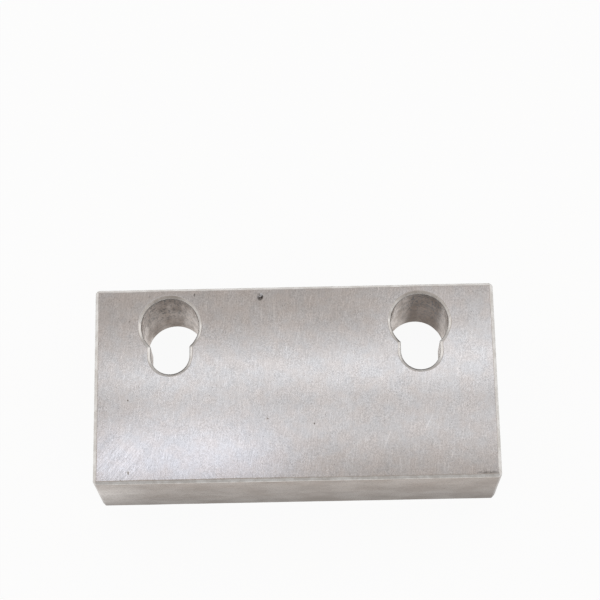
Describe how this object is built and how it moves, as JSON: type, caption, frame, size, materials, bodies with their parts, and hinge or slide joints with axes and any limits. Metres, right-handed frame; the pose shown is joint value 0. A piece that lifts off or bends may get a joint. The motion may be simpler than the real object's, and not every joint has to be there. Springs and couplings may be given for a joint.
{
  "type": "machinable soft jaw",
  "caption": "Rectangular aluminium vise jaw blank with keyhole screw slots near one long edge and counterbored head pockets, to be machined to fit a workpiece.",
  "frame": {"origin": "middle of the working face, which the jaw lies on", "axes": "+X along the jaw's length, +Y across its height towards the edge that stands on the vise's bed, +Z from the working face to the back"},
  "size_m": [0.1016, 0.0508, 0.0254],
  "materials": {
    "aluminium_block": "bare milled aluminium, satin, with fine tool marks and scratches"
  },
  "bodies": {
    "root": {"soft_jaw": "aluminium_block"}
  },
  "joints": []
}
